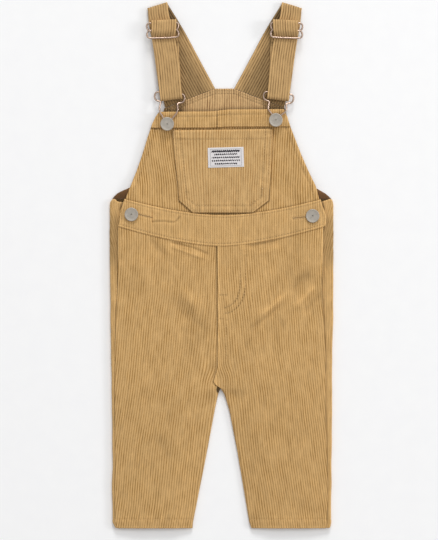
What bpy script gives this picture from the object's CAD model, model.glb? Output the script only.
"""Looks of a baby's corduroy bib overalls, laid flat with the front up.

Every piece of cloth is a closed shell with its own raised wales, turned edges, topstitching and soft creases.
It lies where its CAD solid lies: +Y runs from the hems to the straps and +Z is up. Tables are in millimetres.
"""

import math
from functools import partial

import bmesh
import bpy
import numpy as np
from mathutils import Matrix, Vector


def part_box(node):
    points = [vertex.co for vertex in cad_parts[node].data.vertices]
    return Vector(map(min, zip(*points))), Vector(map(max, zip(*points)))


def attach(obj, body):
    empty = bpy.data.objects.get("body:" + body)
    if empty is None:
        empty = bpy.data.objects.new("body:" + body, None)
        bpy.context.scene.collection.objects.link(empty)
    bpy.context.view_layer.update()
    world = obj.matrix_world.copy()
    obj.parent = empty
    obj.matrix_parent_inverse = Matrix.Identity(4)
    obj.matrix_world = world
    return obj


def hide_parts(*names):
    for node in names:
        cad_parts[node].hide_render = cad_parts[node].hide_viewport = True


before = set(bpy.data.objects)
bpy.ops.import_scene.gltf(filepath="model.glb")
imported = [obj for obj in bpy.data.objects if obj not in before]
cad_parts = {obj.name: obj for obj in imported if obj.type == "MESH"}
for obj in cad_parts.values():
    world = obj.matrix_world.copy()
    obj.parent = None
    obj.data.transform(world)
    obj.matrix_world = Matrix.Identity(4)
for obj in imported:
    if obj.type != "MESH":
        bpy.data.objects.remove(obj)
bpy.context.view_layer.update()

MM = 0.001

# Corduroy of about eleven wales to the inch.
CLOTH = 1.5
WALE_PITCH = 2.36
WALE_HEIGHT = 0.42
COLUMNS_PER_WALE = 5
BACK_TOP = CLOTH

# How the front layer lies, as in the solids: heights of its inner face, and where its plackets rise and end.
FRONT_REST = 1.9
LEG_PUFF = 2.6
BIB_PUFF = 1.2
EDGE_FILL = 0.4
PLACKET_LIFT = 2.5
PLACKET_INSIDE = 86.0
PLACKET_RAMP = 20.0
PLACKET_LOW = (-34.0, 0.0)
PLACKET_HIGH = (68.6, 95.0)
PLACKET_EDGE = {"left": -105.4, "right": 103.2}
PLACKET_HEM = 2.6

# Levels along the garment.
HEM_Y = -268.1
HEM_STITCH_Y = -259.3
CROTCH_Y = -125.7
VENT_Y = 2.4
LEG_TOP_LEVEL = 39.0
SIDE_TOP_Y = 67.6
BAND_BOTTOM_Y = 140.0

# How far a piece runs on under the one that is sewn over it.
UNDERLAP = 2.0

WAISTBAND_RISE = 0.55

WAIST_ENDS = (
    # y, left, right
    (36.0, -105.6, 105.6),
    (49.0, -103.6, 107.3),
    (58.0, -102.2, 104.0),
    (68.0, -98.6, 101.0),
)

# Silhouette and outseams of the legs: level, outer fold and outseam on each side.
LEG_SIDES = (
    # y, left_fold, left_seam, right_seam, right_fold
    (HEM_Y, -108.4, -106.0, 106.6, 110.6),
    (-262.0, -111.2, -108.8, 108.6, 111.9),
    (-232.0, -112.1, -109.4, 109.0, 112.2),
    (-205.0, -111.3, -108.5, 108.6, 112.3),
    (-154.0, -112.0, -109.4, 107.1, 113.0),
    (-87.0, -113.0, -108.9, 106.8, 113.1),
    (-56.0, -113.4, -108.4, 105.0, 114.0),
    (-27.0, -113.8, -106.4, 103.0, 114.2),
    (1.5, -114.2, -105.4, 103.2, 114.2),
    (60.0, -114.2, -105.4, 104.2, 114.2),
    (64.5, -113.6, -105.4, 104.3, 113.8),
    (SIDE_TOP_Y, -111.6, -105.4, 104.4, 112.6),
)

INSEAMS = (
    # y, left, right
    (HEM_Y, -29.4, 30.6),
    (-262.0, -28.9, 28.6),
    (-190.0, -14.6, 16.4),
    (-147.0, -6.6, 8.0),
    (-131.3, -3.2, 3.0),
    (CROTCH_Y, -0.95, -0.65),
)

# How far the wales of a leg have turned outward by each level, on their way down to the hem.
WALE_TURN = (
    # y, outward
    (HEM_Y, 30.0),
    (-235.0, 25.6),
    (-183.0, 19.8),
    (-132.0, 13.4),
    (-81.0, 6.8),
    (-30.0, 2.3),
    (20.0, 0.0),
)

CENTRE_FRONT = (
    # y, x
    (CROTCH_Y, -0.8),
    (-70.0, -3.4),
    (30.0, -3.9),
)

# The edge of the right leg where it laps over the left one; at the crotch it ends in a small flap.
FRONT_LAP = (
    # y, x
    (CROTCH_Y, -0.65),
    (-121.8, -6.4),
    (-118.6, -8.0),
    (-113.0, -6.4),
    (-104.0, -3.8),
    (-70.0, -3.6),
    (30.0, -4.1),
)

BIB_SIDES = (
    # y, left, right
    (40.0, -101.0, 103.0),
    (66.0, -98.4, 100.2),
    (81.0, -92.6, 96.4),
    (97.0, -86.2, 88.6),
    (113.0, -80.6, 81.6),
    (130.0, -75.4, 75.0),
    (144.0, -70.6, 69.6),
    (152.0, -66.6, 67.0),
    (159.6, -61.0, 63.6),
)
BIB_TOP_LEFT_Y = 156.6
BIB_TOP_RIGHT_Y = 159.4
BIB_TOP_HALF = 64.5
BAND_THICK = 1.2
BAND_SEAM_X = -4.4

POCKET_SIDES = (
    # y, left, right
    (53.2, -28.7, 31.3),
    (66.0, -43.0, 48.2),
    (82.3, -44.3, 49.2),
    (110.0, -47.4, 51.8),
    (139.4, -50.4, 52.9),
)
POCKET_BOTTOM_Y = 53.6
POCKET_TOP_Y = 138.4
POCKET_HEM_Y = 128.8
POCKET_MOUTH_SLOPE = 0.015
POCKET_THICK = 1.3
POCKET_CORNERS = ((-50.0, 139.0), (-44.0, 82.3), (-43.0, 66.0), (-28.7, 53.2), (31.3, 53.2), (48.2, 66.0),
                  (49.0, 82.3), (52.6, 139.0))

LABEL_THICK = 0.5
LABEL_SIZE = (36.6, 20.4)
LABEL_CENTRE = (4.6, 110.0)
LABEL_TURN = math.radians(1.6)

BACK_SIDES = (
    # y, left, right
    (67.9, -111.4, 112.4),
    (72.4, -107.6, 107.6),
    (75.0, -103.6, 103.6),
    (77.4, -98.2, 99.2),
    (81.0, -90.0, 93.0),
    (110.0, -78.0, 79.0),
    (160.5, -57.9, 64.7),
)
BACK_PEAK_Y = 180.4
BACK_TOP_EDGE = (
    # x, y
    (-57.9, 160.4),
    (-6.4, BACK_PEAK_Y),
    (13.0, BACK_PEAK_Y),
    (64.7, 160.4),
)
BACK_FACE_FROM_Y = 148.0

# Creases of the front: a line from start to end, its half width and its height (a trough is negative).
CREASES = (
    # x_start, y_start, x_end, y_end, half_width, height
    (98.5, -18.5, 72.0, -47.0, 3.6, 2.5),
    (70.5, -24.5, 35.0, -58.5, 3.4, 2.4),
    (67.0, -28.0, 94.0, -7.0, 4.8, -2.0),
    (66.0, -34.5, 22.0, -73.0, 3.0, -1.6),
    (106.0, -25.0, 82.0, -51.0, 3.6, -1.3),
    (66.0, -54.0, 45.0, -72.0, 6.0, -0.9),
    (26.0, -73.0, 24.0, -104.0, 6.0, -0.8),
    (-55.0, -28.0, -8.5, -76.0, 7.0, -1.3),
    (-46.0, -18.0, -16.0, -48.0, 6.0, 0.8),
    (-75.0, 29.0, -57.0, 7.5, 3.2, -1.0),
    (-61.0, 26.0, -49.0, 8.0, 3.0, 0.6),
    (-56.0, 24.2, -27.0, 17.2, 1.2, -1.2),
    (-34.0, 19.4, -10.0, 9.5, 1.4, -0.9),
    (-56.0, 20.6, -10.0, 4.5, 2.0, 0.9),
    (32.0, 10.5, 63.0, 20.0, 3.6, 1.0),
    (22.0, 17.5, 63.0, 26.5, 2.2, -1.2),
    (-5.0, -130.0, -26.0, -150.0, 5.0, -0.8),
    (5.0, -128.0, 24.0, -138.0, 5.0, -0.8),
    (-2.0, -122.0, -12.0, -100.0, 5.0, -0.7),
    (-14.0, -112.0, -24.0, -92.0, 4.0, 0.6),
    (-70.0, -171.0, -49.0, -202.0, 8.0, -1.0),
    (41.5, -193.5, 44.6, -219.0, 6.0, -0.6),
    (100.7, -10.0, 102.7, -22.0, 3.0, -0.8),
    (-30.0, -58.0, -35.0, -104.0, 9.0, -0.7),
    (82.0, -236.0, 78.0, -252.0, 8.0, -0.5),
    (-70.6, 59.0, -70.6, 37.0, 1.0, -0.8),
)

# A fine fold of the waistband, pressed sharp.
WAIST_FOLD = ((-70.0, 44.4), (-64.0, 44.9), (-57.0, 44.8), (-50.0, 43.9), (-47.2, 44.4), (-45.0, 46.2), (-42.6, 49.6))

# The mock fly: two rows of stitching that curve in like a J, and the edge of the raised cloth between.
FLY_INNER = ((19.6, 18.0), (19.6, -16.0), (18.6, -25.0), (16.4, -33.0), (13.0, -38.0), (9.0, -41.0), (3.0, -43.8))
FLY_OUTER = ((24.7, 19.0), (24.7, -21.0), (23.4, -29.0), (20.6, -37.0), (16.2, -43.0), (10.4, -47.4), (2.0, -49.7))
FLY_RISE = 0.4
FLY_LAP = 0.5
FLY_LAP_WIDTH = 6.0
FLY_TACKS = (((-1.4, -30.3), (6.0, -30.5)), ((-1.4, -54.6), (7.0, -55.2)))
FLY_FACING = ((4.7, -61.0), (4.9, -96.0))

# Hardware.
WIRE = 1.8
BIB_BUTTONS = {"left": (-55.1, 144.0), "right": (55.5, 148.0)}
BUTTONHOLES = {"left": ((-96.0, 54.6), (-70.8, 48.6)), "right": ((98.0, 50.2), (73.0, 48.0))}
BAR_CLEARANCE = WIRE / 2 + 0.3 + CLOTH / 2

# Sewing: one stitch and the space to the next, and the thread's thickness.
STITCH = 2.0
STITCH_STEP = 3.1
THREAD = 0.46
GROOVE_WIDTH = 0.85

# A distance that is too great for an edge or a row of stitches to show.
FAR = 50.0

# How thin cloth may get, how close two points are merged, and how small an edge is dissolved.
LEAST_THICK = 0.35
MERGED = 0.02
SLIVER = 0.004

# Angles over which an edge stays sharp, and under which hidden faces are joined.
SHARP_CLOTH = math.radians(80)
SHARP_METAL = math.radians(50)
FLAT = math.radians(5)

LATTICE_SIZE = 64
LATTICE = np.random.default_rng(11).uniform(-1.0, 1.0, (LATTICE_SIZE, LATTICE_SIZE))


# Shapes of the cloth ----------

def smooth(value, start, end):
    """0 below start, 1 above end, and a soft ramp between."""
    share = np.clip((value - start) / (end - start), 0.0, 1.0)
    return share * share * (3 - 2 * share)


def fade(value, start, end):
    """1 below start, 0 above end, and a soft ramp between."""
    return 1 - smooth(value, start, end)


def between(table, value, column):
    """The column's value at a level of a table whose first column rises."""
    return np.interp(value, [row[0] for row in table], [row[column] for row in table])


def waist_top(x):
    """Level of the waistband's top seam at x: a little tilted, and rising towards the ends."""
    return 51.3 - 0.006 * x + 16.0 * (np.abs(x) / 99.0) ** 1.7


def waist_bottom(x):
    """Level of the waistband's bottom seam at x: rising towards the ends."""
    return 19.2 + 20.2 * (np.abs(x) / 105.0) ** 1.6


def uneven(x, y, size_x, size_y, layer):
    """Soft unevenness from -1 to 1, with humps of about this size in millimetres."""
    across = np.asarray(x / size_x + 17.37 * layer)
    along = np.asarray(y / size_y + 5.91 * layer)
    column = np.floor(across).astype(int)
    row = np.floor(along).astype(int)
    right = smooth(across - column, 0.0, 1.0)
    up = smooth(along - row, 0.0, 1.0)
    column, after = column % LATTICE_SIZE, (column + 1) % LATTICE_SIZE
    low, high = (LATTICE[column, at % LATTICE_SIZE] * (1 - right) + LATTICE[after, at % LATTICE_SIZE] * right
                 for at in (row, row + 1))
    return low * (1 - up) + high * up


def nearest(line, x, y):
    """Distance from each point to a line of straight runs, and how far along it the nearest place is."""
    distance = np.full(np.shape(x), 1e6)
    reached = np.zeros(np.shape(x))
    run = 0.0
    for (x_start, y_start), (x_end, y_end) in zip(line, line[1:]):
        along_x, along_y = x_end - x_start, y_end - y_start
        length = math.hypot(along_x, along_y)
        share = np.clip(((x - x_start) * along_x + (y - y_start) * along_y) / length ** 2, 0.0, 1.0)
        away = np.hypot(x - x_start - share * along_x, y - y_start - share * along_y)
        reached = np.where(away < distance, run + share * length, reached)
        distance = np.minimum(distance, away)
        run += length
    return distance, reached


def wale(across):
    """0 in the narrow valleys and 1 on the round crests of the corduroy's ribs."""
    return np.sqrt(np.abs(np.sin(np.pi * across / WALE_PITCH)))


def crease_height(x, y):
    """What the creases add to the front at a point."""
    total = np.zeros(np.shape(x))
    for x_start, y_start, x_end, y_end, half_width, height in CREASES:
        away, reached = nearest(((x_start, y_start), (x_end, y_end)), x, y)
        share = reached / math.hypot(x_end - x_start, y_end - y_start)
        taper = smooth(share, 0.0, 0.3) * fade(share, 0.7, 1.0)
        away = away + 0.4 * half_width * uneven(x, y, 9.0, 9.0, 7)
        total += height * taper * hump(away, half_width)
    return total


def leg_fill(x, y):
    """How full the leg under a point is, from its outseam to its inseam."""
    left = x < between(CENTRE_FRONT, y, 1)
    outer = np.where(left, between(LEG_SIDES, y, 1), between(LEG_SIDES, y, 4))
    inner = np.where(left, between(INSEAMS, y, 1), between(INSEAMS, y, 2))
    across = np.clip((x - outer) / (inner - outer), 0.0, 1.0)
    return (EDGE_FILL + (1 - EDGE_FILL) * smooth(across, 0.0, 0.35)) * fade(across, 0.7, 1.0)


def body_fill(x, y):
    """How full the garment is across the hips and the bib."""
    half = np.where(y < VENT_Y, 106.0, between(BIB_SIDES, y, 2))
    return EDGE_FILL + (1 - EDGE_FILL) * (1 - np.minimum(np.abs(x) / half, 1.0) ** 3)


def front_under(x, y):
    """Height of the inner face of the whole front layer over the ground."""
    upward = smooth(y, -150.0, -50.0)
    fill = leg_fill(x, y) * (1 - upward) + body_fill(x, y) * upward
    puff = LEG_PUFF + (BIB_PUFF - LEG_PUFF) * smooth(y, 20.0, 90.0)
    lift = smooth(np.abs(x), PLACKET_INSIDE - PLACKET_RAMP, PLACKET_INSIDE)
    lift = lift * smooth(y, *PLACKET_LOW) * fade(y, *PLACKET_HIGH)
    height = FRONT_REST + puff * fill + PLACKET_LIFT * lift + crease_height(x, y)
    height = height + 0.28 * uneven(x, y, 26.0, 34.0, 1) + 0.1 * uneven(x, y, 8.0, 12.0, 2)
    return np.maximum(height, BACK_TOP + 0.2)


def turned_edge(distance, radius):
    """How far the face drops at a folded edge, by the distance from the edge."""
    inward = radius - np.clip(distance, 0.0, radius)
    return radius - np.sqrt(np.maximum(radius ** 2 - inward ** 2, 0.0))


def sewing_relief(x, y, seams):
    """What the rows of stitching do to the face: a groove, a swelling beside it and small puckers."""
    total = np.zeros(np.shape(x))
    for index, row in enumerate(seams):
        away, reached = nearest(row["line"], x, y)
        pull = 0.8 + 0.2 * np.cos(2 * np.pi * reached / STITCH_STEP)
        total -= row["depth"] * pull * hump(away, GROOVE_WIDTH)
        total += 0.3 * row["depth"] * hump(away - 2.4, 1.3)
        pucker = uneven(reached, away, 2.6, 9.0, 3 + index)
        total += row["pucker"] * pucker * hump(away, 4.2)
    return total


def nearest_row(x, y, seams):
    """Distance to the nearest row of stitches, the place along it and how plainly its holes show."""
    closest = np.full(np.shape(x), FAR)
    along = np.zeros(np.shape(x))
    plain = np.zeros(np.shape(x))
    for row in seams:
        if row["sewn"]:
            away, reached = nearest(row["line"], x, y)
            along = np.where(away < closest, reached, along)
            plain = np.where(away < closest, row["holes"], plain)
            closest = np.minimum(closest, away)
    return stacked(closest, along, plain)


def hump(distance, width):
    """1 where the distance is nothing, falling softly to 0 at about twice the width."""
    return np.exp(-(distance / width) ** 2)


def stacked(*values):
    """Rows of the values, one column for each."""
    return np.stack(np.broadcast_arrays(*values), axis=1)


def lip(distance, width=1.0):
    """1 where a piece meets the edge of one that lies on it, and 0 further off."""
    return hump(np.maximum(distance, 0.0), width)


def seam(line, depth=0.4, pucker=0.3, sewn=True, holes=0.2):
    """A row of stitching along a line; holes is how plainly the needle's holes show."""
    return {"line": tuple(line), "depth": depth, "pucker": pucker, "sewn": sewn, "holes": holes}


def rows(*spans):
    """Levels through spans of (start, end, step)."""
    levels = []
    for start, end, step in spans:
        count = max(round(abs(end - start) / step), 1)
        levels += list(np.linspace(start, end, count, endpoint=False))
    return np.array(levels + [spans[-1][1]])


def wale_columns(low, high):
    """Places across the wales: valleys, flanks and crests."""
    step = WALE_PITCH / COLUMNS_PER_WALE
    return np.arange(math.floor(low / step), math.ceil(high / step) + 1) * step


def trimmed(column, row_y, left, right, stray):
    """Points of rows that run at the height row_y, held where the rows meet the side edges."""
    reach = column
    for _ in range(12):
        y = row_y(reach)
        reach = np.clip(column + stray(reach, y), left(y), right(y))
    return reach, row_y(reach)


def sampled(edge, low, high, step=6.0):
    """Points (x, y) along an edge given as a function of x."""
    places = np.linspace(low, high, max(int((high - low) / step), 2))
    return [(float(x), float(edge(x))) for x in places]


def offset_line(line, inward):
    """A line moved to its left by a distance, with its corners kept sharp."""
    points = [Vector(point) for point in line]
    normals = []
    for start, end in zip(points, points[1:]):
        run = (end - start).normalized()
        normals.append(Vector((-run.y, run.x)))
    moved = [points[0] + normals[0] * inward]
    for point, before, after in zip(points[1:-1], normals, normals[1:]):
        both = (before + after).normalized()
        moved.append(point + both * (inward / max(both.dot(before), 0.3)))
    moved.append(points[-1] + normals[-1] * inward)
    return [tuple(point) for point in moved]


# Materials ----------

# The setting that follows a node's kind, as in "Math MULTIPLY".
NODE_SETTINGS = {"Attribute": "attribute_name", "MapRange": "interpolation_type", "Mapping": "vector_type",
                 "Math": "operation", "Mix": "data_type", "VectorMath": "operation"}


def linear(hex_colour):
    """An sRGB hex colour as linear red, green, blue and alpha."""
    parts = [int(hex_colour[start:start + 2], 16) / 255 for start in (1, 3, 5)]
    return (*(part / 12.92 if part <= 0.04045 else ((part + 0.055) / 1.055) ** 2.4 for part in parts), 1.0)


def plug(made, **sources):
    """Set a node's sockets to values or link them to outputs; a name has _ for a space, or is n and a number."""
    for name, source in sources.items():
        socket = made.inputs[int(name[1:]) if name[1:].isdigit() else name.replace("_", " ")]
        if isinstance(source, bpy.types.NodeSocket):
            made.id_data.links.new(source, socket)
        else:
            socket.default_value = source


def node(tree, kind, *first, out=0, **others):
    """Add a node of a kind, with its first sockets and some others plugged, and return one of its outputs."""
    kind, _, setting = kind.partition(" ")
    made = tree.nodes.new(f"ShaderNode{kind}")
    if setting:
        setattr(made, NODE_SETTINGS[kind], setting)
    plug(made, **{f"n{index}": source for index, source in enumerate(first)}, **others)
    return made.outputs[out]


def principled(name, **values):
    """A new material, what adds nodes to it, and its Principled shader with some sockets set."""
    made = bpy.data.materials.new(name)
    made.use_nodes = True
    shader = made.node_tree.nodes["Principled BSDF"]
    plug(shader, **values)
    return made, partial(node, made.node_tree), shader


def corduroy(name, crest, valley, inside):
    """Cotton corduroy: cut pile in ribs over a plain woven ground.

    The pile scatters light softly, so it is rough with a fine sheen. Its crests are lighter than the narrow
    valleys, single ribs differ a little where the pile leans, and the inside shows the bare weave.
    """
    made, add, shader = principled(name, Roughness=0.92, Sheen_Weight=0.25, Sheen_Roughness=0.45,
                                   Sheen_Tint=linear("#E8CFA0"), Specular_IOR_Level=0.15, IOR=1.5)
    weave = add("Attribute weave", out="Vector")
    rib = add("Attribute wale", out="Fac")
    tone = add("Attribute tone", out="Fac")
    grain = []
    for stretch, detail, roughness in (
            # The pile leans in strokes as wide as a rib and a few ribs long.
            ((0.42, 0.075, 0.0), 3.0, 0.6),
            # Broad fading from washing, as large as a palm.
            ((0.035, 0.028, 0.0), 4.0, 0.55),
            # Tufts of pile, 0.35 mm, drawn at their real size.
            ((2.2, 1.3, 0.0), 2.0, 0.7),
            # Here and there the pile closes over the valleys, in patches of a few ribs.
            ((0.11, 0.05, 0.0), 3.0, 0.65)):
        grain.append(add("TexNoise", add("VectorMath MULTIPLY", weave, stretch), Scale=1.0, Detail=detail,
                         Roughness=roughness))
    strokes, broad, tufts, patches = grain
    openness = add("MapRange", patches, 0.35, 0.65, 0.4, 1.2)
    depth = add("Math MULTIPLY", add("Math SUBTRACT", 1.0, rib), openness)
    pile = add("Mix RGBA", depth, n6=linear(crest), n7=linear(valley), out=2)
    cloth = add("Mix RGBA", add("Math LESS_THAN", rib, -0.6), n6=pile, n7=linear(inside), out=2)
    # The needle's holes: dark pits in the groove, one between each two stitches.
    away, along, plain = add("SeparateXYZ", add("Attribute sewn", out="Vector")).node.outputs
    pit = add("Math COSINE", add("Math MULTIPLY", along, 2 * math.pi / STITCH_STEP))
    pits = add("MapRange SMOOTHSTEP", pit, -0.3, 0.8, 0.35, 1.0)
    for share in (add("MapRange SMOOTHSTEP", away, 0.35, 1.15, 1.0, 0.0), tufts, plain):
        pits = add("Math MULTIPLY", pits, share)
    # Each shade: its source, from what to what, and how dark and how light it makes the cloth.
    total = 1.0
    for source, low, high, dark, light in ((strokes, 0.3, 0.7, 0.88, 1.12), (broad, 0.3, 0.7, 0.96, 1.04),
                                           (tufts, 0.25, 0.75, 0.82, 1.18), (tone, -1.7, 1.0, 0.15, 1.5),
                                           (pits, 0.0, 0.6, 1.0, 0.52)):
        total = add("Math MULTIPLY", total, add("MapRange", source, low, high, dark, light))
    plug(shader, Base_Color=add("VectorMath SCALE", cloth, n3=total),
         Normal=add("Bump", Strength=0.5, Distance=0.00012, Height=tufts))
    return made


def sewing_thread(name, colour):
    """Spun polyester sewing thread: twisted, with a slight gloss along its top."""
    made, add, shader = principled(name, Roughness=0.6, Sheen_Weight=0.15, Specular_IOR_Level=0.35)
    # The twist's turns are 0.5 mm apart.
    twist = add("TexNoise", add("TexCoord", out="Object"), Scale=1800.0, Detail=1.0)
    shade = add("MapRange", twist, 0.3, 0.7, 0.8, 1.15)
    plug(shader, Base_Color=add("VectorMath SCALE", linear(colour)[:3], n3=shade))
    return made


def woven_ribbon(name):
    """White woven label ribbon: cool white, with a fine grey frame and rows of plain dark lozenges."""
    made, add, shader = principled(name, Roughness=0.75, Sheen_Weight=0.1, Specular_IOR_Level=0.25)
    centred = add("Mapping TEXTURE", add("TexCoord", out="Object"),
                  Location=(LABEL_CENTRE[0] * MM, LABEL_CENTRE[1] * MM, 0.0),
                  Rotation=(0.0, 0.0, LABEL_TURN), Scale=(MM, MM, MM))
    u, v, _ = add("SeparateXYZ", centred).node.outputs
    from_middle_u, from_middle_v = add("Math ABSOLUTE", u), add("Math ABSOLUTE", v)
    inset_u = add("Math SUBTRACT", LABEL_SIZE[0] / 2 - 2.6, from_middle_u)
    inset_v = add("Math SUBTRACT", LABEL_SIZE[1] / 2 - 1.7, from_middle_v)
    frame_line = add("Math LESS_THAN", add("Math ABSOLUTE", add("Math MINIMUM", inset_u, inset_v)), 0.26)
    # Five rows of lozenges 3.2 mm apart; those of the top row are larger, the second and last row are shorter.
    bold = add("Math GREATER_THAN", v, 4.8)
    short = add("Math ADD", add("Math COMPARE", v, 3.2, 1.6), add("Math LESS_THAN", v, -4.8))
    row_place = add("Math PINGPONG", add("Math ADD", v, 32.0), 1.6)
    lozenge_place = add("Math PINGPONG", add("Math ADD", u, add("Math MULTIPLY", v, 0.31)), 1.05)
    # The weft packs unevenly, so single lozenges are fuller than others.
    packing = add("TexNoise", centred, Scale=0.8, Detail=1.0)
    reach = add("Math ADD", add("Math ADD", 0.62, add("Math MULTIPLY", bold, 0.45)), packing)
    lozenges = add("Math LESS_THAN", add("Math ADD", row_place, lozenge_place), reach)
    row_end = add("Math SUBTRACT", 14.4, add("Math MULTIPLY", short, 2.8))
    for inside in (add("Math LESS_THAN", from_middle_u, row_end), add("Math LESS_THAN", from_middle_v, 7.8)):
        lozenges = add("Math MULTIPLY", lozenges, inside)
    ink = add("Math MAXIMUM", add("Math MULTIPLY", frame_line, 0.5), lozenges)
    # The ribbon's own threads, 0.3 mm apart.
    yarns = add("TexNoise", add("VectorMath MULTIPLY", centred, (1.0, 2.6, 1.0)), Scale=1.6, Detail=2.0)
    shade = add("MapRange", yarns, 0.3, 0.7, 0.93, 1.05)
    inked = add("Mix RGBA", ink, n6=linear("#DDD9D9"), n7=linear("#2C2930"), out=2)
    plug(shader, Base_Color=add("VectorMath SCALE", inked, n3=shade),
         Normal=add("Bump", Strength=0.4, Distance=0.00008, Height=yarns))
    return made


def nickel_plate(name):
    """Nickel plated steel wire: bright and slightly warm, with faint draw marks."""
    made, add, shader = principled(name, Metallic=1.0, Base_Color=linear("#C2AA99"))
    marks = add("TexNoise", add("TexCoord", out="Object"), Scale=900.0, Detail=2.0)
    plug(shader, Roughness=add("MapRange", marks, 0.3, 0.7, 0.3, 0.42))
    return made


def pewter_plate(name):
    """Pewter-coloured plating on pressed brass: dull, brushed and a little blotched by wear."""
    made, add, shader = principled(name, Metallic=0.8)
    blotch = add("TexNoise", add("TexCoord", out="Object"), Scale=320.0, Detail=4.0)
    plug(shader, Roughness=add("MapRange", blotch, 0.3, 0.7, 0.5, 0.62),
         Base_Color=add("Mix RGBA", blotch, n6=linear("#A19C92"), n7=linear("#C5BCB1"), out=2))
    return made


def paper_floor(name):
    """Matt white paper sweep, so even that it has only a faint grain."""
    made, add, shader = principled(name, Roughness=0.95, Specular_IOR_Level=0.1)
    grain = add("TexNoise", add("TexCoord", out="Object"), Scale=60.0, Detail=3.0)
    plug(shader, Base_Color=add("Mix RGBA", grain, n6=linear("#F6F6F7"), n7=linear("#FAFAFA"), out=2))
    return made


FACE = corduroy("cotton corduroy", "#CFA871", "#93692F", "#A98554")
POCKET_CLOTH = corduroy("cotton corduroy pocket", "#CCA772", "#9C713D", "#A98554")
STRAP_CLOTH = corduroy("cotton corduroy strap", "#C4A06E", "#563411", "#A98554")
BACK_CLOTH = corduroy("cotton corduroy back", "#CFAB7A", "#6A3E19", "#84603F")
THREAD_TAN = sewing_thread("tan sewing thread", "#C9A46E")
RIBBON = woven_ribbon("woven ribbon")
NICKEL = nickel_plate("nickel plated wire")
PEWTER = pewter_plate("pewter plated button")


# Making pieces ----------

def add_piece(name, mesh, finish, nodes):
    """Put a mesh in the scene as a piece that rides on the object and stands for CAD nodes."""
    mesh.materials.append(finish)
    piece = bpy.data.objects.new(name, mesh)
    bpy.context.scene.collection.objects.link(piece)
    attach(piece, "root")
    if nodes:
        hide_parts(*nodes)
    return piece


def store(mesh, name, kind, values):
    """Keep a value for each point of a mesh."""
    attribute = mesh.attributes.new(name, kind, "POINT")
    field = "vector" if kind == "FLOAT_VECTOR" else "value"
    attribute.data.foreach_set(field, np.ascontiguousarray(values, dtype=np.float32).ravel())


def cloth_piece(name, across, levels, shape, finish, nodes, ribbed_back=False):
    """A closed piece of cloth: a grid laid on its face, extruded to its back.

    shape takes the columns' and rows' places and gives the points of the face and of the back, the place
    across and along the wales for the weave, the height of the wale, the tone of the pile, and for the nearest
    row of stitches its distance, the place along it and how plainly its holes show.
    """
    mesh = bpy.data.meshes.new(name)
    bm = bmesh.new()
    bmesh.ops.create_grid(bm, x_segments=len(across) - 1, y_segments=len(levels) - 1, size=0.5)
    bm.to_mesh(mesh)
    bm.free()
    # The grid's points run from -0.5 to 0.5, which says the column and the row of each.
    places = np.zeros(len(mesh.vertices) * 3)
    mesh.vertices.foreach_get("co", places)
    places = places.reshape(-1, 3) + 0.5
    column = np.rint(places[:, 0] * (len(across) - 1)).astype(int)
    row = np.rint(places[:, 1] * (len(levels) - 1)).astype(int)
    face, back, weave, crest, tone, sewn = shape(across[column], levels[row])
    mesh.vertices.foreach_set("co", (face * MM).ravel())
    store(mesh, "back", "FLOAT_VECTOR", back * MM)
    store(mesh, "weave", "FLOAT_VECTOR", weave)
    store(mesh, "wale", "FLOAT", crest)
    store(mesh, "tone", "FLOAT", tone)
    store(mesh, "sewn", "FLOAT_VECTOR", sewn)

    bm = bmesh.new()
    bm.from_mesh(mesh)
    back_place = bm.verts.layers.float_vector["back"]
    wale_value = bm.verts.layers.float["wale"]
    grown = bmesh.ops.extrude_face_region(bm, geom=bm.faces[:], use_keep_orig=True)
    behind = [item for item in grown["geom"] if isinstance(item, bmesh.types.BMVert)]
    for vert in behind:
        vert.co = vert[back_place]
        if not ribbed_back:
            vert[wale_value] = -1.0
    bmesh.ops.remove_doubles(bm, verts=bm.verts[:], dist=MERGED * MM)
    bmesh.ops.dissolve_degenerate(bm, dist=SLIVER * MM, edges=bm.edges[:])
    bmesh.ops.recalc_face_normals(bm, faces=bm.faces[:])
    # The plain back needs few faces.
    if not ribbed_back:
        hidden = {vert for vert in behind if vert.is_valid}
        inner = [vert for vert in hidden if all(edge.other_vert(vert) in hidden for edge in vert.link_edges)]
        inner_edges = [edge for edge in bm.edges if edge.verts[0] in hidden and edge.verts[1] in hidden]
        bmesh.ops.dissolve_limit(bm, angle_limit=FLAT, verts=inner, edges=inner_edges)
        bmesh.ops.triangulate(bm, faces=[item for item in bm.faces if len(item.verts) > 4])
    bm.to_mesh(mesh)
    bm.free()
    mesh.attributes.remove(mesh.attributes["back"])
    mesh.shade_smooth()
    mesh.set_sharp_from_angle(angle=SHARP_CLOTH)
    return add_piece(name, mesh, finish, nodes)


def wander(across, y):
    """How far a wale strays sideways from a straight line."""
    return 1.2 * uneven(across, y, 46.0, 60.0, 21) + 0.32 * uneven(across, y, 15.0, 19.0, 22)


def rib_relief(across, y):
    """Height of the wales, a little different from one to the next and along each."""
    index = np.floor(across / WALE_PITCH)
    each = 0.85 + 0.15 * uneven(index * 7.3, y, 5.0, 40.0, 23)
    worn = 0.93 + 0.07 * uneven(index * 3.1, y, 2.0, 5.0, 24)
    return WALE_HEIGHT * wale(across) * each * worn


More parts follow.
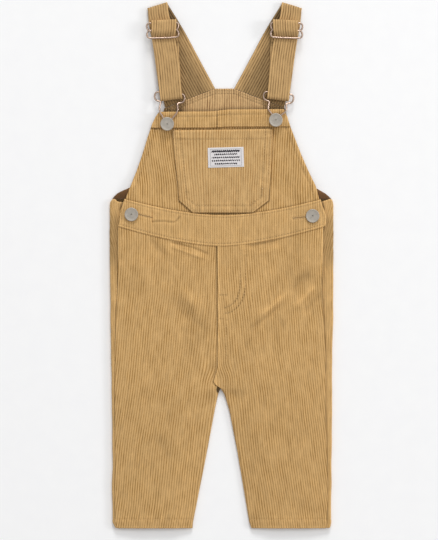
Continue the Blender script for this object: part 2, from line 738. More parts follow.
def panel(name, across, levels, place, under, edge, extra, seams, sewn, thickness=CLOTH, finish=FACE,
          radius=0.9, ribbed=None, closed_edge=None, stray=wander, shade=None, open_ribs=1.0):
    """A panel of the front with its stitching: gives both pieces and the height of the face.

    place gives x and y, under the lower face, edge the distance to the outline and extra what lies between the
    cloth and the wales. seams press on the cloth, and sewn are those of them that show their thread.
    """

    def shape(column, level):
        x, y = place(column, level)
        column = x - stray(x, y)
        low = under(x, y)
        relief = sewing_relief(x, y, seams)
        rib = rib_relief(column, y)
        if ribbed is not None:
            rib = rib * ribbed(x, y)
        top = low + thickness + extra(x, y) + relief + rib - turned_edge(edge(x, y), radius)
        if closed_edge is not None:
            fall = closed_edge(x, y)
            top = top - fall
            low = np.maximum(low - fall, BACK_TOP - 0.3)
        top = np.maximum(top, low + LEAST_THICK)
        # The pile is dark in the grooves of the sewing and pale where an edge or a ridge wears.
        worn = hump(edge(x, y) - 1.2, 0.8)
        tone = 0.55 * np.clip(relief, -1.0, 0.4) + 0.24 * worn + 0.19 * np.clip(crease_height(x, y), -1.8, 1.8)
        if shade is not None:
            tone = tone + shade(x, y)
        crest = 1 - open_ribs * (1 - wale(column))
        return (stacked(x, y, top), stacked(x, y, low), stacked(column, y, 0.0), crest, tone,
                nearest_row(x, y, seams))

    def height(x, y):
        return under(x, y) + thickness + extra(x, y) + sewing_relief(x, y, seams) + 0.5 * WALE_HEIGHT

    piece = cloth_piece(f"{name}_cloth", across, levels, shape, finish, [name])
    return piece, stitches(f"{name}_topstitching", sewn, height), height


def threads(name, bars, rise, flatness):
    """Sewn threads: small rounded bars on the face, each given by the place of its middle and its run.

    rise and flatness are shares of the thread's thickness.
    """
    mesh = bpy.data.meshes.new(name)
    bm = bmesh.new()
    for centre, run in bars:
        facing = run.to_track_quat("X", "Z").to_matrix().to_4x4()
        stretch = Matrix.Diagonal((run.length / THREAD, 1.0, flatness, 1.0))
        centre = centre + Vector((0.0, 0.0, THREAD * rise))
        bmesh.ops.create_uvsphere(bm, u_segments=6, v_segments=4, radius=THREAD / 2 * MM,
                                  matrix=Matrix.Translation(centre * MM) @ facing @ stretch)
    bm.to_mesh(mesh)
    bm.free()
    mesh.shade_smooth()
    return add_piece(name, mesh, THREAD_TAN, ())


def on_face(point, height):
    """The point of a face over a flat one."""
    return Vector((point.x, point.y, float(height(np.array([point.x]), np.array([point.y]))[0])))


def stitches(name, seams, height):
    """The threads of rows of stitching."""
    bars = []
    for row in seams:
        for middle, heading in stitch_places(row["line"], STITCH_STEP):
            start, end = (on_face(middle + heading * (STITCH / 2 * hand), height) for hand in (-1, 1))
            bars.append((Vector((middle.x, middle.y, (start.z + end.z) / 2)), end - start))
    return threads(name, bars, 0.22, 0.8)


def stitch_places(line, step):
    """Middles and headings of the stitches along a line."""
    places = []
    carried = step / 2
    for start, end in zip(line, line[1:]):
        start, end = Vector(start), Vector(end)
        length = (end - start).length
        heading = (end - start).normalized()
        while carried < length:
            places.append((start + heading * carried, heading))
            carried += step
        carried -= length
    return places


def satin(name, line, width, height):
    """Dense threads across a line, as on a bartack or round a buttonhole."""
    bars = [(on_face(middle, height), Vector((-heading.y, heading.x, 0.0)) * width)
            for middle, heading in stitch_places(line, THREAD * 1.05)]
    return threads(name, bars, 0.2, 0.9)


def sides(table, wider=0.0):
    """A table's left and right edges by level, and how far inside both a point is."""

    def left(y):
        return between(table, y, 1) - wider

    def right(y):
        return between(table, y, 2) + wider

    def inside(x, y):
        return np.minimum(x - left(y), right(y) - x)

    return left, right, inside


def spanned(low, high, left, right, stray=wander):
    """The place of a panel's columns and rows, whose levels are shares from its low edge to its high one."""
    return lambda column, share: trimmed(column, lambda x: low(x) + (high(x) - low(x)) * share, left, right, stray)


# Front pieces ----------

def front_leg(side):
    """One front leg, from under the waistband to its turned hem."""
    left = side == "left"
    hand = -1.0 if left else 1.0
    # The columns reach as far past the edges as the wales turn.
    across = wale_columns(-114.5, 17.0) if left else wale_columns(-23.0, 113.0)
    levels = rows((HEM_Y, HEM_Y + 2.0, 0.4), (HEM_Y + 2.0, -255.0, 0.7), (-255.0, -132.0, 1.9),
                  (-132.0, -112.0, 0.8), (-112.0, 22.0, 1.8), (22.0, LEG_TOP_LEVEL + UNDERLAP, 0.8))
    fly = []
    if not left:
        for line in (FLY_INNER, FLY_OUTER):
            fly += [seam(line[:2], 0.2, 0.2, holes=0.12), seam(line[1:], 0.26, 0.14, holes=0.9)]
        fly += [seam(line, 0.3, 0.1, holes=1.0) for line in FLY_TACKS] + [seam(FLY_FACING, 0.16, 0.06, holes=0.4)]
    hem = [seam(((-113.0, HEM_STITCH_Y), (113.0, HEM_STITCH_Y)), 0.26, 0.3)]
    placket_x = PLACKET_EDGE[side] - hand * PLACKET_HEM
    placket = [seam(((placket_x, VENT_Y), (placket_x, 33.0)), 0.14, 0.12, holes=0.0)]
    seams = hem + fly + placket

    def outer_edge(y):
        return between(LEG_SIDES, y, 2 if left else 3)

    def inner_edge(y):
        centre = between(CENTRE_FRONT, y, 1) + UNDERLAP if left else between(FRONT_LAP, y, 1)
        return np.where(y < CROTCH_Y, between(INSEAMS, y, 1 if left else 2), centre)

    left_edge, right_edge = (outer_edge, inner_edge) if left else (inner_edge, outer_edge)

    def stray(x, y):
        # The seams at the crotch hold the wales back, and pull them into a fan; on the right hip they bulge.
        held = 0.2 * between(WALE_TURN, np.maximum(y, CROTCH_Y), 1) * fade(np.abs(x), 3.0, 30.0)
        turned = (between(WALE_TURN, y, 1) - held) * hand
        if left:
            fan = 0.26 * (y + 113.0) * np.exp(-((x + 9.0) / 9.0) ** 2 - ((y + 113.0) / 13.0) ** 2)
            return wander(x, y) + turned + fan + 0.025 * x
        fan = -0.3 * (y + 108.0) * np.exp(-((x - 4.0) / 8.0) ** 2 - ((y + 108.0) / 12.0) ** 2)
        hip = 1.5 * smooth(y, -92.0, -50.0) * fade(y, -34.0, 16.0) * lip(np.abs(x - 56.0), 26.0)
        return wander(x, y) + turned + fan + hip

    def place(column, level):
        follow = smooth(level, -40.0, LEG_TOP_LEVEL)

        def row_y(at):
            scallop = -0.3 * wale(at - stray(at, level)) * fade(level, HEM_Y, HEM_Y + 3.0)
            return level + scallop + (waist_bottom(at) - LEG_TOP_LEVEL) * follow

        return trimmed(column, row_y, left_edge, right_edge, stray)

    def edge(x, y):
        outseam = (x - left_edge(y)) if left else (right_edge(y) - x)
        folded = FAR if left else np.where(y > CROTCH_Y + 0.5, x - left_edge(y) + 0.15, FAR)
        return np.minimum(np.minimum(outseam, folded), y - HEM_Y + 0.3)

    def past_lap(x, y):
        return (x - between(FRONT_LAP, y, 1)) * hand

    def under(x, y):
        lap = smooth(y, CROTCH_Y - 6.0, CROTCH_Y + 2.0) * fade(past_lap(x, y), 0.5, FLY_LAP_WIDTH)
        return front_under(x, y) + hand * FLY_LAP * lap

    def extra(x, y):
        hem_rise = 0.5 * fade(y, HEM_STITCH_Y - 0.6, HEM_STITCH_Y + 0.6)
        roping = 0.22 * uneven(x + 0.6 * y, y, 3.2, 14.0, 31) * fade(y, HEM_STITCH_Y, HEM_STITCH_Y + 6.0)
        roping = roping - 0.35 * lip(waist_bottom(x) - y, 1.4)
        if left:
            return hem_rise + roping
        away, _ = nearest(FLY_OUTER, x, y)
        inside = (x < FLY_OUTER[0][0]) & (y > FLY_OUTER[-1][1])
        return hem_rise + roping + FLY_RISE * np.where(inside, smooth(away, 0.0, 2.0), 0.0) * smooth(y, -52.0, -40.0)

    def closed_edge(x, y):
        inseam = np.abs(x - between(INSEAMS, y, 1 if left else 2))
        return turned_edge(inseam, 3.4) * 0.55 * fade(y, CROTCH_Y - 3.0, CROTCH_Y + 2.0)

    def shade(x, y):
        # The centre seam is a dark line on the left and a pale edge on the right, with a wedge at the crotch.
        deep = 0.5 + 0.4 * smooth(y, -80.0, -50.0) + 0.3 * smooth(y, -6.0, 16.0)
        if left:
            deep = deep * (0.85 + 0.3 * uneven(y, y, 9.0, 9.0, 34))
            centre = -1.3 * deep * smooth(y, CROTCH_Y, CROTCH_Y + 4.0) * lip(past_lap(x, y), 1.2)
            corner = -2.6 * np.exp(-(np.hypot(x + 2.9, 0.6 * (y - CROTCH_Y + 1.2)) / 2.1) ** 4)
            pale_edge = 0.0
        else:
            centre = 0.3 * smooth(y, CROTCH_Y, CROTCH_Y + 4.0) * hump(past_lap(x, y) - 1.5, 0.9)
            corner = -0.25 * hump(np.hypot(x - 4.0, y - CROTCH_Y), 5.0)
            pale_edge = 0.5
        outer = np.abs(x - outer_edge(y))
        pale_edge = pale_edge * smooth(y, VENT_Y - 3.0, VENT_Y + 2.0) * hump(outer - 0.9, 0.7)
        low = -0.07 * fade(y, -180.0, -60.0)
        waist = waist_bottom(x) - y
        outseam = -1.3 * (0.7 + 0.4 * uneven(y, y, 17.0, 17.0, 33)) * lip(outer, 1.2)
        outseam = outseam * fade(y, VENT_Y - 22.0, VENT_Y - 8.0) * smooth(y, HEM_Y, HEM_Y + 16.0)
        return -0.12 * lip(waist, 0.8) - 0.15 * lip(waist, 2.6) + centre + corner + pale_edge + low + outseam

    hem_row = seam(((-29.0 if left else 29.5, HEM_STITCH_Y), (-108.6 if left else 108.2, HEM_STITCH_Y)))
    piece, sewing, _ = panel(f"front_leg_{side}", across, levels, place, under, edge, extra, seams,
                             [hem_row] + fly + placket, closed_edge=closed_edge, stray=stray, shade=shade)


def bib_top_y(x):
    """Top edge of the bib, a little higher on the right."""
    share = 0.35 * np.clip((x + BIB_TOP_HALF) / (2 * BIB_TOP_HALF), 0.0, 1.0) + 0.65 * smooth(x, -12.0, 10.0)
    return BIB_TOP_LEFT_Y + (BIB_TOP_RIGHT_Y - BIB_TOP_LEFT_Y) * share


def band_low_y(x):
    """Lower edge of the band along the bib's top."""
    return BAND_BOTTOM_Y + (bib_top_y(x) - BIB_TOP_LEFT_Y) * 0.5


def waistband():
    """The front waistband with its buttonholed ends."""
    across = wale_columns(-107.0, 108.5)
    levels = rows((0.0, 0.14, 0.02), (0.14, 0.86, 0.026), (0.86, 1.0, 0.02))
    top_row = seam(sampled(lambda x: waist_top(x) - 2.4, -99.0, 101.0), 0.24, 0.2, holes=0.3)
    low_row = seam(sampled(lambda x: waist_bottom(x) + 3.0, -103.0, 104.0), 0.26, 0.2, holes=0.8)
    ends = [seam(((-102.8, 41.0), (-101.0, 52.0), (-98.5, 60.0)), 0.2, 0.1, holes=0.1),
            seam(((104.0, 40.5), (104.6, 48.0), (100.6, 61.0)), 0.2, 0.1, holes=0.1)]
    holes = [seam(line, 0.5, 0.1, sewn=False) for line in BUTTONHOLES.values()]
    fold = seam(WAIST_FOLD, 0.55, 0.0, sewn=False)
    seams = [top_row, low_row] + ends + holes + [fold]

    left_edge, right_edge, inside = sides(WAIST_ENDS)

    def edge(x, y):
        return np.minimum(inside(x, y), np.minimum(y - waist_bottom(x), waist_top(x) - y))

    def shade(x, y):
        lit_row = 0.42 * hump(y - waist_bottom(x) - 3.3, 0.9)
        from_fold, along = nearest(WAIST_FOLD, x, y)
        pressed = lip(from_fold, 0.7) * (0.7 + 0.3 * uneven(along, along, 4.0, 4.0, 8))
        slits = sum(lip(nearest(line, x, y)[0], 0.6) for line in BUTTONHOLES.values())
        return lit_row - 0.45 * pressed - 0.5 * slits

    place = spanned(waist_bottom, waist_top, left_edge, right_edge)
    piece, sewing, height = panel("waistband", across, levels, place, front_under, edge,
                                  lambda x, y: WAISTBAND_RISE, seams, [top_row, low_row] + ends, radius=1.0,
                                  shade=shade, open_ribs=0.75)
    for side, line in BUTTONHOLES.items():
        for part, away in (("lower", -0.75), ("upper", 0.75)):
            satin(f"buttonhole_{side}_{part}", offset_line(line, away), 1.3, height)


def bib():
    """The bib panel, plain and flat where its pocket and top band are sewn over it."""
    across = wale_columns(-102.5, 104.0)
    levels = rows((0.0, 0.08, 0.012), (0.08, 1.0, 0.018))
    armholes = [seam([(x + 5.0, y) for y, x, _ in BIB_SIDES[1:]], 0.26, 0.22),
                seam([(x - 5.0, y) for y, _, x in BIB_SIDES[1:]], 0.26, 0.22)]
    left_edge, right_edge, edge = sides(BIB_SIDES)
    inside_pocket = sides(POCKET_SIDES)[2]

    def stray(x, y):
        spread = 0.05 * smooth(x, 0.0, 42.0) - 0.12 * smooth(-x, 0.0, 42.0)
        return wander(x, y) + spread * np.maximum(y - 82.0, 0.0) + 0.03 * x

    def ribbed(x, y):
        pocket = np.minimum(inside_pocket(x, y), np.minimum(y - POCKET_BOTTOM_Y, POCKET_TOP_Y - y))
        return fade(pocket, 1.0, 3.0) * fade(y, band_low_y(x) - 1.0, band_low_y(x) + 0.5)

    def overlaps(x, y):
        return np.maximum(np.maximum(lip(y - waist_top(x)), lip(band_low_y(x) - y)), lip(pocket_edge(x, y), 1.1))

    def extra(x, y):
        return 0.3 * fade(edge(x, y), 4.2, 5.6) - 0.35 * overlaps(x, y)

    def shade(x, y):
        below_pocket = lip(pocket_edge(x, y), 1.2) * fade(y, POCKET_BOTTOM_Y - 0.5, POCKET_BOTTOM_Y + 1.0)
        beside_pocket = lip(pocket_edge(x, y), 1.4) * smooth(x, 40.0, 46.0) * fade(y, 92.0, 104.0)
        return -0.8 * overlaps(x, y) - 0.7 * below_pocket - 0.5 * beside_pocket

    place = spanned(lambda x: waist_top(x) - UNDERLAP, lambda x: bib_top_y(x) - 1.0, left_edge, right_edge, stray)
    piece, sewing, _ = panel("bib", across, levels, place, front_under, edge, extra, armholes,
                             [seam(row["line"][:-3]) for row in armholes], ribbed=ribbed, stray=stray,
                             shade=shade, open_ribs=1.3)


def bib_top_band():
    """The band along the bib's top edge, turned over and stitched twice, with a seam near its middle."""
    across = wale_columns(-73.0, 72.0)
    levels = rows((0.0, 0.12, 0.03), (0.12, 0.88, 0.05), (0.88, 1.0, 0.02))
    low_row = seam(sampled(lambda x: band_low_y(x) + 1.8, -68.0, 68.0), 0.18, 0.2, holes=0.1)
    top_row = seam(sampled(lambda x: bib_top_y(x) - 5.0, -65.0, 65.0), 0.26, 0.2, holes=0.0)
    middle = [seam(((BAND_SEAM_X, 140.5), (BAND_SEAM_X + 0.4, 158.0)), 0.75, 0.12, sewn=False),
              seam(((8.9, 142.0), (8.6, 156.0)), 0.28, 0.1)]
    seams = [low_row, top_row] + middle

    left_edge, right_edge, inside = sides(BIB_SIDES, 0.15)

    def edge(x, y):
        return np.minimum(inside(x, y), np.minimum(y - band_low_y(x), bib_top_y(x) - y))

    def under(x, y):
        return front_under(x, y) + CLOTH - 0.1

    def extra(x, y):
        return 0.35 + 0.18 * smooth(x, BAND_SEAM_X, BAND_SEAM_X + 1.0) * fade(x, 8.0, 12.0)

    def shade(x, y):
        from_seam = x - BAND_SEAM_X
        line = (0.25 + 0.3 * lip(np.abs(x + 3.0), 18.0)) * hump(y - bib_top_y(x) + 5.0, 0.6)
        return 0.4 * hump(from_seam - 1.7, 0.9) - 0.5 * lip(np.abs(from_seam), 0.8) - line

    place = spanned(band_low_y, bib_top_y, left_edge, right_edge)
    piece, sewing, _ = panel("bib_top_band", across, levels, place, under, edge, extra, seams,
                             [low_row, top_row, middle[1]], thickness=BAND_THICK, radius=1.1, shade=shade)


def pocket_under(x, y):
    """Lower face of the pocket."""
    return front_under(x, y) + CLOTH + 0.1


def pocket_edge(x, y):
    """Distance to the pocket's outline."""
    return nearest(POCKET_CORNERS + (POCKET_CORNERS[0],), x, y)[0]


def bib_pocket():
    """The patch pocket, double stitched round its cut-off lower corners, with a wide hem at its mouth."""
    across = wale_columns(-51.2, 53.8)
    levels = rows((POCKET_BOTTOM_Y, 66.6, 0.55), (66.6, 124.0, 2.0), (124.0, POCKET_TOP_Y, 0.9))
    outer_row = seam(offset_line(POCKET_CORNERS, 1.8), 0.22, 0.26, holes=0.15)
    inner_row = seam(offset_line(POCKET_CORNERS, 7.4), 0.26, 0.32, holes=0.4)
    hem_row = seam(((-46.0, POCKET_HEM_Y - 0.6), (48.0, POCKET_HEM_Y + 0.6)), 0.2, 0.26, holes=0.1)
    seams = [outer_row, inner_row, hem_row]
    left_edge, right_edge, inside = sides(POCKET_SIDES)

    def stray(x, y):
        return wander(x + 400.0, y) - (0.09 * smooth(-x, 8.0, 40.0) - 0.03) * (y - 60.0)

    def place(column, level):
        def row_y(at):
            return level + POCKET_MOUTH_SLOPE * at * smooth(level, POCKET_BOTTOM_Y, POCKET_TOP_Y)

        return trimmed(column, row_y, left_edge, right_edge, stray)

    def edge(x, y):
        slant = np.where(y < 66.0, 0.66, 1.0)
        low_high = np.minimum(y - POCKET_BOTTOM_Y, POCKET_TOP_Y + POCKET_MOUTH_SLOPE * x - y)
        return np.minimum(inside(x, y) * slant, low_high)

    def extra(x, y):
        hem = 0.35 * smooth(y, POCKET_HEM_Y - 0.6, POCKET_HEM_Y + 0.6)
        border = 0.25 * fade(pocket_edge(x, y), 6.6, 8.0)
        return np.maximum(hem, border)

    piece, sewing, height = panel("bib_pocket", across, levels, place, pocket_under, edge, extra, seams, seams,
                                  thickness=POCKET_THICK, finish=POCKET_CLOTH,
                                  radius=1.1, stray=stray)
    for side, x in (("left", -48.6), ("right", 51.0)):
        satin(f"pocket_bartack_{side}", ((x, 137.0), (x, 129.5)), 1.7, height)


def label():
    """A small ribbon label sewn flat on the pocket, with a plain woven design."""
    half_u, half_v = (length / 2 for length in LABEL_SIZE)
    cos, sin = math.cos(LABEL_TURN), math.sin(LABEL_TURN)

    def shape(u, v):
        x = LABEL_CENTRE[0] + u * cos - v * sin
        y = LABEL_CENTRE[1] + u * sin + v * cos
        low = pocket_under(x, y) + POCKET_THICK + 0.55 * WALE_HEIGHT
        edge = np.minimum(half_u - np.abs(u), half_v - np.abs(v))
        waves = 0.05 * np.sin(2 * np.pi * x / WALE_PITCH) + 0.1 * uneven(u, v, 5.0, 5.0, 41)
        top = low + LABEL_THICK + waves - turned_edge(edge, 0.35)
        return (stacked(x, y, top), stacked(x, y, low - 0.1), stacked(u, v, 0.0), np.ones_like(u),
                np.zeros_like(u), nearest_row(x, y, ()))

    u_places, v_places = (np.unique(np.concatenate((rows((-half, half, 0.5)), (-half + 0.12, half - 0.12))))
                          for half in (half_u, half_v))
    piece = cloth_piece("label_ribbon", u_places, v_places, shape, RIBBON, ["label"])


# Back pieces ----------

def upper_back():
    """The back above the waist, seen from its inner side."""
    across = wale_columns(-114.0, 114.0)
    levels = rows((67.9, 86.0, 1.6), (86.0, 146.0, 6.0), (146.0, BACK_PEAK_Y, 1.0))
    seams = [seam([(x, y - down) for x, y in BACK_TOP_EDGE], depth, 0.3, holes=holes)
             for down, depth, holes in ((2.2, 0.3, 0.7), (5.0, 0.28, 0.8))]
    left_edge, right_edge, inside_edges = sides(BACK_SIDES)

    def place(column, level):
        def row_y(at):
            return level + (between(BACK_TOP_EDGE, at, 1) - BACK_PEAK_Y) * smooth(level, 81.0, 165.0)

        return trimmed(column, row_y, left_edge, right_edge, wander)

    def shape(column, level):
        x, y = place(column, level)
        column = x - wander(x, y)
        shows = smooth(y, BACK_FACE_FROM_Y, BACK_FACE_FROM_Y + 1.0)
        sewn = sewing_relief(x, y, seams)
        edge = np.minimum(inside_edges(x, y), between(BACK_TOP_EDGE, x, 1) - y + 0.2)
        top = CLOTH + rib_relief(column, y) * shows + sewn - turned_edge(edge, 0.8)
        top = top + 0.15 * uneven(x, y, 14.0, 14.0, 51)
        rib = wale(column) * shows - (1 - shows)
        inside = smooth(np.abs(x), 84.0, 92.0) * fade(y, 78.0, 84.0)
        behind_bib = fade(y, bib_top_y(x) + 0.5, bib_top_y(x) + 4.5)
        behind_straps = smooth(np.abs(x - STRAP_MIRROR_X), 36.0, 46.0) * smooth(y, 140.0, 150.0)
        tone = 0.6 * np.clip(sewn, -1.0, 0.3) - 0.6 * behind_bib - 0.85 * behind_straps
        tone = tone + inside * (0.5 * smooth(y, 69.0, 78.0) - 0.25)
        return (stacked(x, y, np.maximum(top, 0.4)), stacked(x, y, 0.0), stacked(column, y, 0.0), rib, tone,
                nearest_row(x, y, seams))

    piece = cloth_piece("upper_back_cloth", across, levels, shape, BACK_CLOTH, ["upper_back"])

    def height(x, y):
        return CLOTH + sewing_relief(x, y, seams) + 0.5 * WALE_HEIGHT

    sewing = stitches("upper_back_topstitching", seams, height)


def back_leg(side):
    """One back leg: flat on the ground, rolled over at its outer side to the outseam on the front."""
    left = side == "left"
    hand = -1 if left else 1
    low_mid = CLOTH / 2
    high_mid = FRONT_REST + LEG_PUFF * EDGE_FILL + CLOTH / 2
    radius = (high_mid - low_mid) / 2
    quarter = math.pi * radius / 2
    # The part that lies on the ground has coarse columns, and the roll and the front have fine ones.
    across = np.concatenate((np.arange(-122.0, -12.6, 2.0), wale_columns(-12.0, 34.0)))
    levels = rows((HEM_Y, HEM_Y + 2.0, 0.4), (HEM_Y + 2.0, -255.0, 1.2), (-255.0, 60.0, 2.2), (60.0, SIDE_TOP_Y, 0.9))

    def outline(level):
        fold = np.abs(between(LEG_SIDES, level, 1 if left else 4)) + 0.3 * uneven(level, level, 21.0, 21.0, 61)
        fold = fold - (0.7 if left else 0.1)
        seam_x = np.abs(between(LEG_SIDES, level, 2 if left else 3))
        inner = np.where(level < CROTCH_Y, np.abs(between(INSEAMS, level, 1 if left else 2)), 0.2)
        return fold, seam_x, inner

    def shape(column, level):
        fold, seam_x, inner = outline(level)
        centre = fold - CLOTH / 2 - radius
        placket = PLACKET_INSIDE + 1.5
        seam_x = np.where(level >= VENT_Y, placket, seam_x - UNDERLAP)
        end = np.where(column > 0, np.minimum(seam_x, centre), inner)
        column = np.sign(column) * np.minimum(np.abs(column), quarter + centre - end)
        angle = np.clip(column / radius, -np.pi / 2, np.pi / 2)
        flat = np.maximum(np.abs(column) - quarter, 0.0)
        x = centre + radius * np.cos(angle) - flat
        z = low_mid + radius * (1 + np.sin(angle))
        inward = np.maximum(centre - x, 0.0) * (column > 0)
        dip = 2.2 * smooth(inward, 0.0, 3.5) + 0.12 * inward if left else 0.33 * inward
        y = level - dip * smooth(level, 50.0, SIDE_TOP_Y)
        sunk = 0.9 * (column > 0) * smooth(inward, 3.5, 9.0) * fade(level, VENT_Y - 14.0, VENT_Y)
        lapped = smooth(seam_x - x, -3.0, -0.8) * (column > 0) * (level < VENT_Y)
        normal_x, normal_z = np.cos(angle), np.sin(angle)
        ribbed = smooth(column, -quarter - 2.0, -quarter + 1.5)
        # Wales apart from the front leg's, which lean inward towards the top.
        ribs = column + 31.0 * hand + 0.25 * np.maximum(level - 10.0, 0.0)
        rib = rib_relief(ribs, level) * ribbed
        hem = 0.3 * fade(level, HEM_STITCH_Y - 0.6, HEM_STITCH_Y + 0.6) * ribbed
        hem_groove = 0.3 * hump(level - HEM_STITCH_Y, GROOVE_WIDTH) * ribbed
        rim = np.minimum(level - HEM_Y, SIDE_TOP_Y - level + 0.1)
        drop = turned_edge(rim, 0.9) * ribbed
        away = CLOTH / 2 + rib + hem - hem_groove - drop - 1.2 * lapped - sunk
        away = np.maximum(away, -CLOTH / 2 + 0.3)
        outer = stacked(hand * (x + away * normal_x), y, np.maximum(z + away * normal_z, 0.0))
        back_away = -CLOTH / 2 - 0.9 * lapped
        inner_face = stacked(hand * (x + back_away * normal_x), y, z + back_away * normal_z)
        weave = stacked(column, level, 0.0)
        side_shade = ribbed * smooth(level, -12.0, 12.0) * fade(level, 42.0, 56.0)
        side_shade = side_shade * (0.42 + 0.5 * (1 - wale(ribs)))
        band_end = np.abs(between(WAIST_ENDS, level, 1 if left else 2)) + 0.8
        wedge = ribbed * lip(np.abs(np.abs(x) - band_end), 1.6) * smooth(level, 54.0, 62.0) * (column > 0)
        behind = (1 - ribbed) * smooth(level, 50.0, 58.0)
        seam_shade = 0.6 + 0.35 * uneven(level, level, 19.0, 19.0, 63)
        tone = 0.3 * hump(rim, 1.3) - seam_shade * lapped - 0.4 * hem_groove - side_shade
        tone = tone - 1.5 * wedge - 1.8 * behind
        rib_value = wale(ribs) * ribbed + (1 - ribbed) * 0.7
        hem_row = nearest_row(hand * x, level, [seam(((-120.0, HEM_STITCH_Y), (120.0, HEM_STITCH_Y)))])
        return outer, inner_face, weave, rib_value, tone, hem_row

    piece = cloth_piece(f"back_leg_{side}_cloth", across, levels, shape, FACE, [f"back_leg_{side}"])


# Straps ----------

STRAP_RUN = (
    # left_x, left_y, right_x, right_y, middle_z
    (-57.6, 160.9, -6.4, 180.7, 0.85),
    (-64.3, 200.0, -23.6, 212.6, 0.85),
    (-70.0, 233.0, -38.4, 240.2, 0.85),
    (-75.0, 260.3, -54.6, 266.7, 0.85),
)
TOP_FOLD_RADIUS = 1.35
STRAP_DOWN = (
    (-74.6, 254.5, -53.8, 258.5, 3.45),
    (-73.8, 246.5, -51.8, 249.5, 3.45),
    (-72.8, 240.0, -49.6, 242.0, 3.45),
    (-70.6, 229.0, -44.0, 230.0, 3.4),
    (-67.2, 209.4, -42.6, 208.6, 3.25),
    (-62.4, 170.0, -39.9, 172.7, 3.05),
)
STRAP_UP = (
    (-64.0, 182.4, -41.0, 184.6, 6.7),
    (-67.6, 209.4, -43.4, 208.6, 5.9),
    (-70.4, 228.4, -46.4, 229.2, 5.25),
    (-70.9, 232.0, -47.2, 232.8, 5.3),
    (-71.0, 234.6, -46.9, 235.4, 7.2),
    (-71.1, 236.9, -46.4, 237.7, 9.1),
    (-71.2, 239.2, -46.0, 240.0, 9.75),
    (-71.3, 241.6, -45.8, 242.4, 9.7),
    (-71.5, 247.0, -45.6, 247.8, 9.35),
)
STRAP_TAIL = (-71.4, 238.6, -46.6, 239.4, 5.25)
STRAP_MIRROR_X = 3.4


def turned(before, radius, upward, rising, count):
    """Stations of a half turn that follows a station, with its axis along the strap's width."""
    left = Vector(before[0:2])
    right = Vector(before[2:4])
    across = (right - left).normalized()
    ahead = Vector((-across.y, across.x)) * upward
    made = []
    for index in range(1, count + 1):
        angle = math.pi * index / count
        shift = ahead * radius * math.sin(angle)
        height = before[4] + radius * (1 - math.cos(angle)) * (1 if rising else -1)
        made.append((left.x + shift.x, left.y + shift.y, right.x + shift.x, right.y + shift.y, height))
    return made


def strap_stations():
    """All stations of the left strap, from its seam on the back to its end behind the slider."""
    return np.array([*STRAP_RUN, *turned(STRAP_RUN[-1], TOP_FOLD_RADIUS, 1, True, 6),
                     *STRAP_DOWN, *turned(STRAP_DOWN[-1], BAR_CLEARANCE, -1, True, 7),
                     *STRAP_UP, *turned(STRAP_UP[-1], BAR_CLEARANCE, 1, False, 7), STRAP_TAIL])


def eased(points, spacing, closed=False):
    """Points at even spacing on a smooth curve through the given ones."""
    points = np.asarray(points, dtype=float)
    if closed:
        points = np.vstack((points[-1:], points, points[:2]))
    else:
        first = 2 * points[0] - points[1]
        last = 2 * points[-1] - points[-2]
        points = np.vstack((first[None], points, last[None]))
    found = []
    for before, start, end, after in zip(points, points[1:], points[2:], points[3:]):
        count = max(int(np.linalg.norm(end - start) / spacing), 1)
        gap = np.linalg.norm(end - start)
        into = (end - before) * gap / (gap + np.linalg.norm(start - before))
        out = (after - start) * gap / (gap + np.linalg.norm(after - end))
        for share in np.linspace(0.0, 1.0, count, endpoint=False):
            square, cube = share ** 2, share ** 3
            found.append((2 * cube - 3 * square + 1) * start + (cube - 2 * square + share) * into
                         + (3 * square - 2 * cube) * end + (cube - square) * out)
    if not closed:
        found.append(points[-2])
    return np.array(found)


